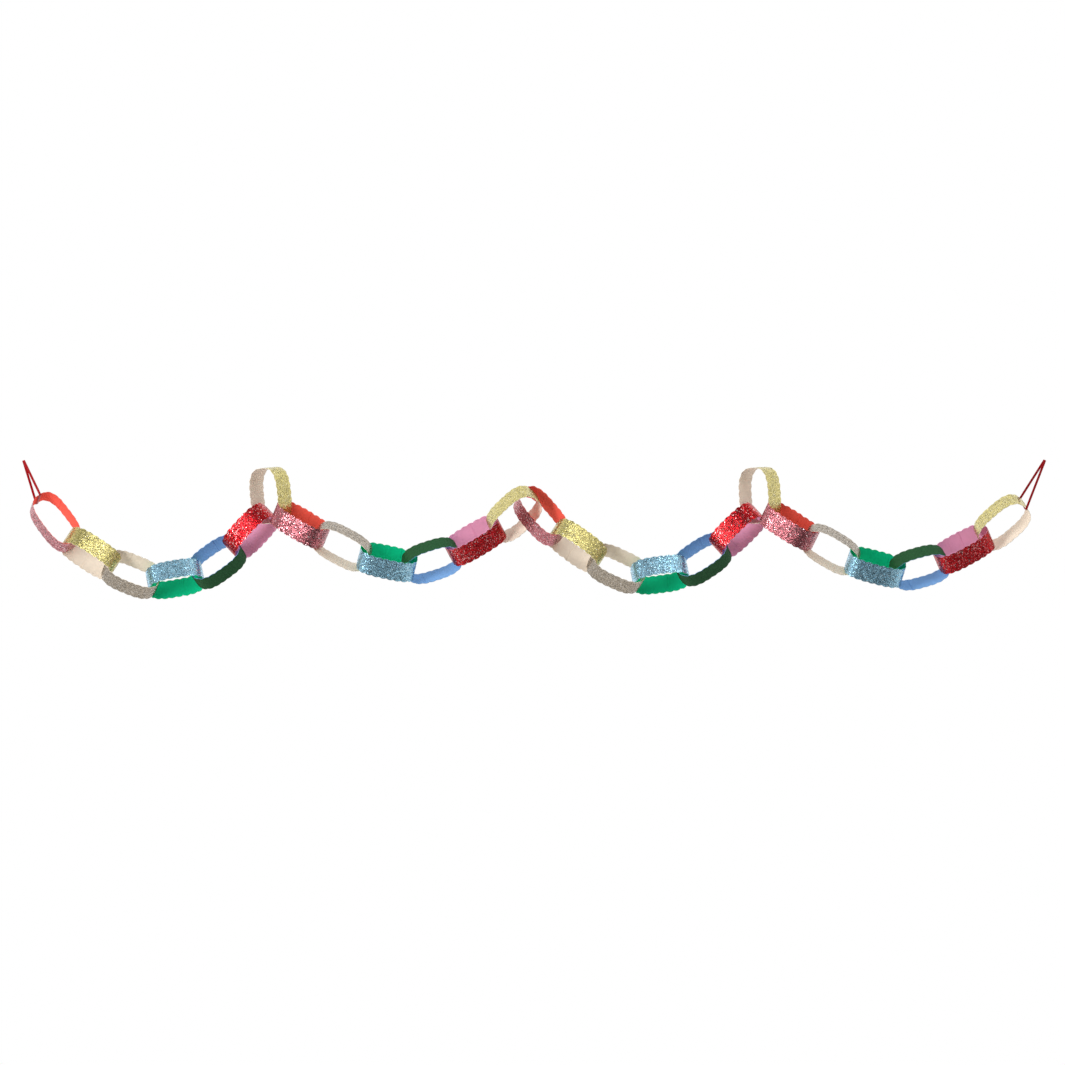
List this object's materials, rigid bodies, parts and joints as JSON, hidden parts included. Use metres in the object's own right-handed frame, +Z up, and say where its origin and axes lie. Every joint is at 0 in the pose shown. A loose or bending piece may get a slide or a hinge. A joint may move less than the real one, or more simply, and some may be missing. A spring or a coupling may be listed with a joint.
{
  "type": "paper chain garland",
  "caption": "festive paper chain of interlinked scalloped paper loops in mixed glitter colours, hung in swags from a thin ribbon loop at each end",
  "frame": {"origin": "centre of the box around the whole garland as it hangs", "axes": "+X along the garland to its right end, +Z up, the front faces -Y"},
  "size_m": [1.4454, 0.1218, 0.1982],
  "materials": {
    "rose_paper": "glitter outside, plain card inside",
    "gold_paper": "glitter outside, plain card inside",
    "silver_paper": "glitter outside, plain card inside",
    "blue_paper": "glitter outside, plain card inside",
    "green_paper": "glitter outside, plain card inside",
    "red_paper": "glitter outside, plain card inside",
    "ribbon": "satin"
  },
  "bodies": {
    "root": {"link_01_rose": "rose_paper", "link_02_gold": "gold_paper", "link_03_silver": "silver_paper", "link_04_blue": "blue_paper", "link_05_green": "green_paper", "link_06_red": "red_paper", "link_07_gold": "gold_paper", "link_08_rose": "rose_paper", "link_09_silver": "silver_paper", "link_10_blue": "blue_paper", "link_11_green": "green_paper", "link_12_red": "red_paper", "link_13_gold": "gold_paper", "link_14_rose": "rose_paper", "link_15_gold": "gold_paper", "link_16_silver": "silver_paper", "link_17_blue": "blue_paper", "link_18_green": "green_paper", "link_19_red": "red_paper", "link_20_gold": "gold_paper", "link_21_rose": "rose_paper", "link_22_silver": "silver_paper", "link_23_blue": "blue_paper", "link_24_green": "green_paper", "link_25_red": "red_paper", "link_26_gold": "gold_paper", "ribbon_left": "ribbon", "ribbon_right": "ribbon"}
  },
  "joints": []
}
